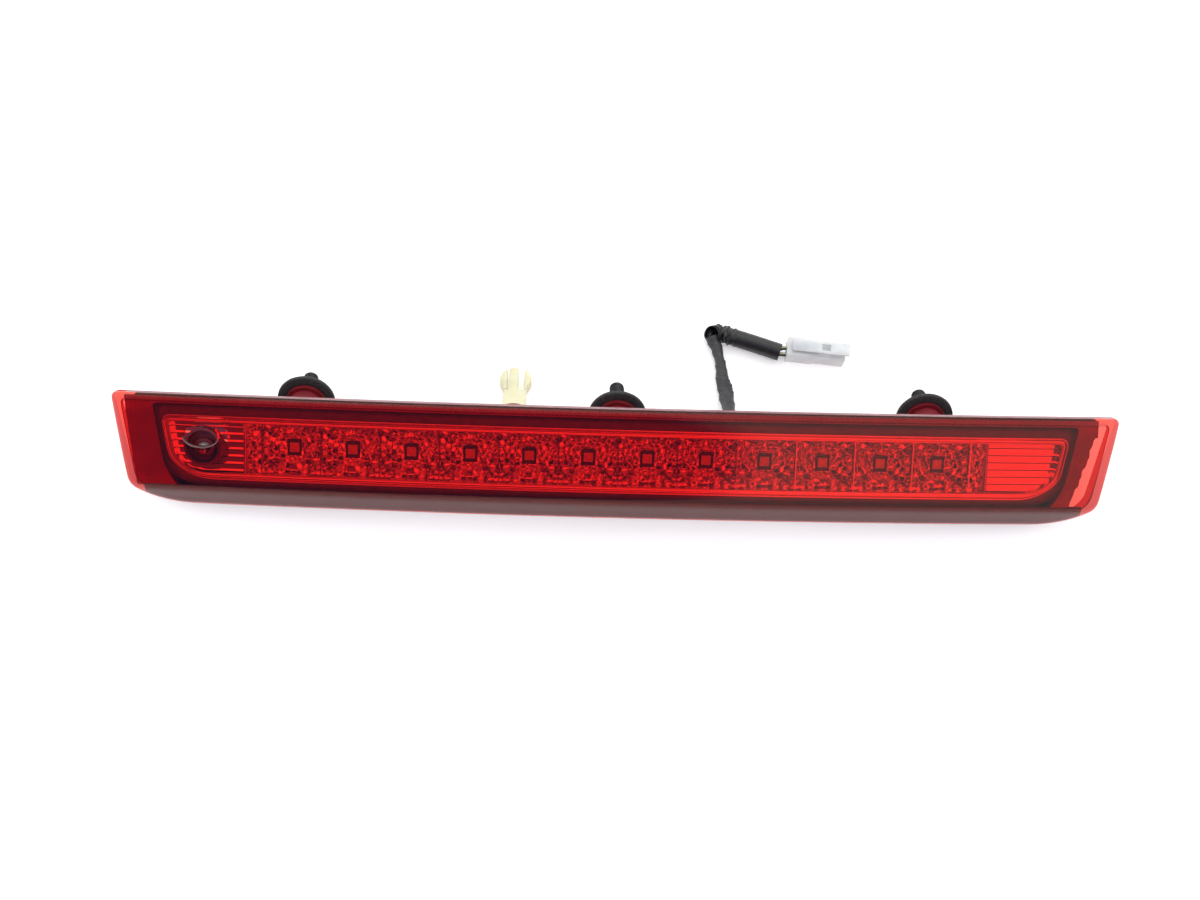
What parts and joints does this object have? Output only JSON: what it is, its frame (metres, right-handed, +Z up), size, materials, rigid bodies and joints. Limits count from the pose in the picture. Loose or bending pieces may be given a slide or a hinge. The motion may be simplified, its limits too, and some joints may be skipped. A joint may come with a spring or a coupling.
{
  "type": "third brake light",
  "caption": "High-mounted red LED brake light bar with a curved lens, washer nozzle, stud mounting with foam gaskets, locating clip and a short connector lead.",
  "frame": {"origin": "on the table, under the middle of the lamp without its lead, as the lamp lies on its gaskets and the lower rear edge of its housing", "axes": "+X along the lamp, to the right seen from its lit side; +Z up from the table; +Y away from a viewer of the lens"},
  "size_m": [0.3878, 0.0889, 0.0476],
  "materials": {
    "lens_red": "clear polished red acrylic",
    "housing_red": "moulded red plastic",
    "metallised": "vacuum metallised plastic",
    "board_green": "solder mask",
    "led_white": "moulded LED package",
    "led_window": "clear resin",
    "component_black": "moulded component",
    "nylon_ivory": "natural nylon",
    "nylon_white": "translucent white nylon",
    "steel": "zinc plated steel",
    "nozzle_metal": "turned nozzle ball",
    "brass": "tinned brass",
    "foam_black": "closed cell foam",
    "rubber_black": "moulded rubber",
    "tape_black": "wound vinyl tape",
    "sleeve_black": "soft vinyl sleeve",
    "wire_green": "wire insulation, green with a white stripe",
    "wire_black": "wire insulation, black with a white stripe",
    "stud_black": "zinc plated steel"
  },
  "bodies": {
    "lamp": {"housing": "housing_red", "outer_lens": "lens_red", "inner_bezel": "metallised", "reflector": "metallised", "circuit_board": "board_green", "led_packages": "led_white", "led_windows": "led_window", "board_resistors": "component_black", "board_diodes": "component_black", "board_header": "nylon_white", "board_screws": "steel", "inner_lead_green": "wire_green", "inner_lead_black": "wire_black", "mounting_studs": "stud_black", "stud_gaskets": "foam_black", "clip_body": "nylon_ivory", "cable_grommet": "rubber_black", "breather_cap": "rubber_black", "nozzle_body": "housing_red", "nozzle_seal": "rubber_black", "nozzle_retainer": "steel", "hose_elbow": "rubber_black", "taped_cable": "tape_black", "cable_sleeve": "sleeve_black", "wire_green": "wire_green", "wire_black": "wire_black", "connector_housing": "nylon_white", "connector_terminals": "brass", "connector_lock": "nylon_white"},
    "aiming_ball": {"nozzle_ball": "nozzle_metal"},
    "left_wing": {"clip_wing_left": "nylon_ivory"},
    "right_wing": {"clip_wing_right": "nylon_ivory"},
    "latch": {"connector_latch": "nylon_white"}
  },
  "joints": [
    {"name": "nozzle_tilt", "type": "hinge", "parent": "lamp", "child": "aiming_ball", "pos_m": [-0.15858, -0.01278, 0.02613], "axis": [0.995, -0.0479, 0.0872], "range_deg": [-12, 12]},
    {"name": "left_wing_flex", "type": "hinge", "parent": "lamp", "child": "left_wing", "pos_m": [-0.0443, 0.02032, 0.00931], "axis": [0, -0.518, -0.8554], "range_deg": [0, 2], "stiffness_Nm_per_rad": 0.05},
    {"name": "right_wing_flex", "type": "hinge", "parent": "lamp", "child": "right_wing", "pos_m": [-0.0377, 0.02032, 0.00931], "axis": [0, 0.518, 0.8554], "range_deg": [0, 4.5], "stiffness_Nm_per_rad": 0.05},
    {"name": "latch_press", "type": "hinge", "parent": "lamp", "child": "latch", "pos_m": [0.07279, 0.04494, 0.0093], "axis": [0.0872, 0.9962, 0], "range_deg": [0, 2], "stiffness_Nm_per_rad": 0.05}
  ]
}
